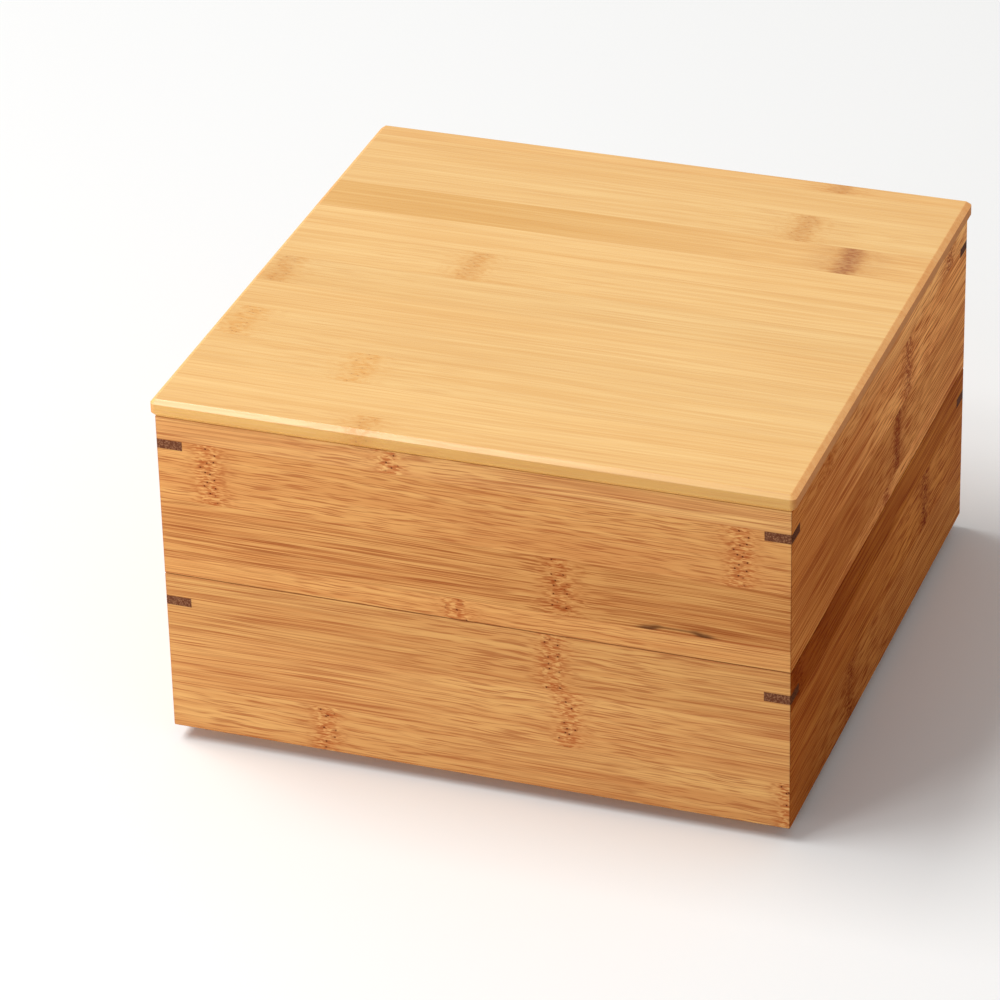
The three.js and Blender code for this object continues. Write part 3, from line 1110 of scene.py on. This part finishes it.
def lid_ring(edges):
    """The path round the lid's board: side stations at the strips' edges, and corners as arcs.

    Each station is the corner or side point of the inner rectangle that the rounding starts from, as
    signs along X and Y, a level along Y where a strip ends, and the direction that it faces.
    """
    turn = np.linspace(0, np.pi / 2, LID_CORNER_STEPS + 1)
    stations = []
    for quarter, (sign_x, sign_y) in enumerate(((1, -1), (1, 1), (-1, 1), (-1, -1))):
        facing = turn + (quarter - 1) * np.pi / 2
        corner = np.broadcast_to([[sign_x], [sign_y], [np.nan]], (3, len(turn)))
        stations.append(np.vstack([corner, facing]))
        if quarter % 2 == 0:
            side = np.broadcast_to([[sign_x], [np.nan]], (2, len(edges)))
            stations.append(np.vstack([side, edges[::sign_x], np.full(len(edges), facing[-1])]))
    return np.concatenate(stations, axis=1)


def eased_chamfer(edge, fall, ease):
    """A face's edge from the flat outwards: how far inside the outline each point lies, and how far off the
    face. An arc of radius ease turns from the face into a straight chamfer at the angle of fall."""
    bend = np.linspace(0, fall, ARRIS_STEPS + 1)
    eased = edge - ease * np.sin(bend)
    straight = np.array([eased[-1] - LID_SUPPORT, 0.0])
    flat = edge + np.array([2, 1]) * LID_SUPPORT
    arc_off = ease * (1 - np.cos(bend))
    straight_off = arc_off[-1] + (eased[-1] - straight) * math.tan(fall)
    return np.concatenate([flat, eased, straight]), np.concatenate([[0, 0], arc_off, straight_off])


def make_lid(sizes, material):
    """The lid's board: an eased edge carried round a rounded rectangle, closed above and below by strips.

    The top eases along an arc, and the underside along a tiny one, into a chamfer that meets the upright
    edge at a crisp angle. A point of the edge that lies e inside the outline stands on a ring whose
    corners have the radius corner - e, or 0 once e is larger, about centres that lie the larger of
    corner and e inside.
    """
    edges = LID_LOW.y + strip_edges(LID_STRIPS)[1:-1]
    sign_x, sign_y, level, facing = lid_ring(edges)
    under_inset, under_rise = eased_chamfer(sizes.lid_under, LID_UNDER_RISE, LID_UNDER_EASE)
    top_inset, top_fall = eased_chamfer(sizes.lid_edge, LID_EDGE_FALL, sizes.lid_ease)
    inset = np.concatenate([under_inset, top_inset[::-1]])
    z = np.concatenate([LID_LOW.z + under_rise, LID_HIGH.z - top_fall[::-1]])
    corner = np.maximum(sizes.lid_corner - inset, 0)[:, None]
    reach = np.maximum(sizes.lid_corner, inset)[:, None]
    x = sign_x * (LID_SIZE.x / 2 - reach) + corner * np.cos(facing)
    on_side = ~np.isnan(level)
    corner_y = np.nan_to_num(sign_y) * (LID_SIZE.y / 2 - reach) + corner * np.sin(facing)
    y = np.where(on_side, np.nan_to_num(level), corner_y)
    rings, count = x.shape
    points = np.stack([x, y, np.broadcast_to(z[:, None], x.shape)], axis=-1).reshape(-1, 3)
    faces = ring_cells(rings, count).reshape(-1, 4).tolist()
    right = np.nonzero(on_side & (sign_x > 0))[0]
    left = np.nonzero(on_side & (sign_x < 0))[0][::-1]
    front = np.concatenate([np.arange(left[0], count), np.arange(right[0] + 1)])
    back = np.arange(right[-1], left[-1] + 1)
    between = np.stack([left[:-1], right[:-1], right[1:], left[1:]], axis=1)
    for start in (0, (rings - 1) * count):
        faces += [(start + face).tolist() for face in (front, *between, back)]
    mesh = closed_mesh("lid_board", points, faces)
    write_flat_board(mesh, LID_STRIPS, LID_LOW, LID_HIGH, LID_SEED)
    place_piece("lid_board", mesh, material, "lid", "lid_panel")


# Operators


class BENTO_OT_stage(bpy.types.Operator):
    """Sets the pale floor, the soft light and the camera"""

    bl_idname = "bento.stage"
    bl_label = "Studio"

    def execute(self, context):
        scene = context.scene
        scene.view_settings.view_transform = "Standard"
        self.floor(scene)
        self.light(scene)
        self.camera(scene)
        return {"FINISHED"}

    def floor(self, scene):
        """A square of floor, flat at the height that the box stands on."""
        side = np.array([-1, 1]) * STUDIO_HALF
        x, y = (grid.ravel() for grid in np.meshgrid(side, side))
        points = np.stack([x, y, np.full_like(x, CAD_BOX[0].z)], axis=1)
        mesh = bpy.data.meshes.new("studio_floor")
        mesh.from_pydata(points.tolist(), [], [[0, 1, 3, 2]])
        sheet = NodeSheet("studio_floor")
        sheet.shader.inputs["Base Color"].default_value = linear(scene.bento_colours.studio)
        sheet.shader.inputs["Roughness"].default_value = STUDIO_ROUGHNESS
        sheet.shader.inputs["Specular IOR Level"].default_value = STUDIO_SPECULAR
        mesh.materials.append(sheet.material)
        floor = bpy.data.objects.new("studio_floor", mesh)
        scene.collection.objects.link(floor)

    def light(self, scene):
        """A softbox above the box's left, a card before its left corner, a small lamp high in front, and a
        pale sky."""
        light = scene.bento_light
        for key, (name, place, size) in LAMPS.items():
            self.lamp(scene, name, place, size, getattr(light, key))
        world = bpy.data.worlds.new("pale_sky")
        world.use_nodes = True
        sky = world.node_tree.nodes["Background"].inputs
        sky["Color"].default_value = WHITE
        sky["Strength"].default_value = light.sky
        scene.world = world

    def lamp(self, scene, name, place, size, watts):
        """A rectangle of light that faces the middle of the box."""
        lamp = bpy.data.lights.new(name, "AREA")
        lamp.shape = "RECTANGLE"
        lamp.size, lamp.size_y = size
        lamp.energy = watts
        softbox = bpy.data.objects.new(name, lamp)
        softbox.location = place
        toward = place - (CAD_BOX[0] + CAD_BOX[1]) / 2
        softbox.rotation_euler = toward.to_track_quat("Z", "Y").to_euler()
        scene.collection.objects.link(softbox)

    def camera(self, scene):
        """Stands off the aim by the distance, at the azimuth and elevation, rolled about its own axis."""
        lens = bpy.data.cameras.new("camera")
        lens.lens = CAMERA_LENS
        camera = bpy.data.objects.new("camera", lens)
        turn = Matrix.Rotation(CAMERA_AZIMUTH, 4, "Z")
        tilt = Matrix.Rotation(math.pi / 2 - CAMERA_ELEVATION, 4, "X")
        roll = Matrix.Rotation(CAMERA_ROLL, 4, "Z")
        off = Matrix.Translation((0.0, 0.0, CAMERA_DISTANCE))
        camera.matrix_world = Matrix.Translation(CAMERA_AIM) @ turn @ tilt @ roll @ off
        scene.collection.objects.link(camera)
        scene.camera = camera


class BENTO_OT_lid_board(bpy.types.Operator):
    """Makes the lid's board"""

    bl_idname = "bento.lid_board"
    bl_label = "Lid board"

    def execute(self, context):
        scene = context.scene
        make_lid(scene.bento_sizes, bamboo("bamboo_lid", lid_finish(scene.bento_colours)))
        return {"FINISHED"}


class BENTO_OT_walls(bpy.types.Operator):
    """Makes the four mitred walls of each tier"""

    bl_idname = "bento.walls"
    bl_label = "Walls"

    def execute(self, context):
        scene = context.scene
        material = bamboo("bamboo_wall", wall_finish(scene.bento_colours))
        for tier in TIERS:
            for side in SIDES:
                make_wall(scene.bento_sizes, material, tier, side)
        return {"FINISHED"}


class BENTO_OT_floors(bpy.types.Operator):
    """Makes the floor board of each tier"""

    bl_idname = "bento.floors"
    bl_label = "Floors"

    def execute(self, context):
        scene = context.scene
        material = bamboo("bamboo_floor", floor_finish(scene.bento_colours))
        for tier in TIERS:
            make_floor(scene.bento_sizes, material, tier)
        return {"FINISHED"}


class BENTO_OT_edge_strips(bpy.types.Operator):
    """Makes the stacking strips under each floor and the locating strips under the lid"""

    bl_idname = "bento.edge_strips"
    bl_label = "Stacking and locating strips"

    def execute(self, context):
        scene = context.scene
        material = bamboo("bamboo_strip", strip_finish(scene.bento_colours))
        for quarter, side in enumerate(SIDES):
            for tier_index, tier in enumerate(TIERS):
                names = (f"{tier}_stacking_{side}", f"{tier}_stacking_strip_{side}")
                seed = STACKING_SEED + len(SIDES) * tier_index + quarter
                make_edge_strip(scene.bento_sizes, material, names, f"{tier}_tier", quarter, seed)
            names = (f"lid_locating_{side}", f"lid_locating_strip_{side}")
            make_edge_strip(scene.bento_sizes, material, names, "lid", quarter, LOCATING_SEED + quarter)
        return {"FINISHED"}


class BENTO_OT_corner_keys(bpy.types.Operator):
    """Makes the dark keys let into the mitred corners"""

    bl_idname = "bento.corner_keys"
    bl_label = "Corner keys"

    def execute(self, context):
        scene = context.scene
        material = smoked_key(scene.bento_colours)
        for tier in TIERS:
            for corner in CORNERS:
                make_key(scene.bento_sizes, material, tier, corner)
        return {"FINISHED"}


OPERATORS = (
    BENTO_OT_stage,
    BENTO_OT_lid_board,
    BENTO_OT_walls,
    BENTO_OT_floors,
    BENTO_OT_edge_strips,
    BENTO_OT_corner_keys,
)
GROUPS = {"bento_sizes": BentoSizes, "bento_colours": BentoColours, "bento_light": BentoLight}


class BENTO_PT_sidebar(bpy.types.Panel):
    """Lists the pieces of the box and the sizes and colours that they take"""

    bl_idname = "BENTO_PT_sidebar"
    bl_label = "Bamboo Bento Box"
    bl_space_type = "VIEW_3D"
    bl_region_type = "UI"
    bl_category = "Bento"

    def draw(self, context):
        for group, kind in GROUPS.items():
            column = self.layout.column(align=True)
            for name in kind.__annotations__:
                column.prop(getattr(context.scene, group), name)
        for operator in OPERATORS:
            self.layout.operator(operator.bl_idname)


CLASSES = (*GROUPS.values(), *OPERATORS, BENTO_PT_sidebar)


def register():
    for each in CLASSES:
        bpy.utils.register_class(each)
    for name, group in GROUPS.items():
        setattr(bpy.types.Scene, name, bpy.props.PointerProperty(type=group))


def unregister():
    for name in GROUPS:
        delattr(bpy.types.Scene, name)
    for each in reversed(CLASSES):
        bpy.utils.unregister_class(each)


def main():
    """Makes the studio and every piece."""
    register()
    bpy.ops.bento.stage()
    bpy.ops.bento.lid_board()
    bpy.ops.bento.walls()
    bpy.ops.bento.floors()
    bpy.ops.bento.edge_strips()
    bpy.ops.bento.corner_keys()


if __name__ == "__main__":
    main()
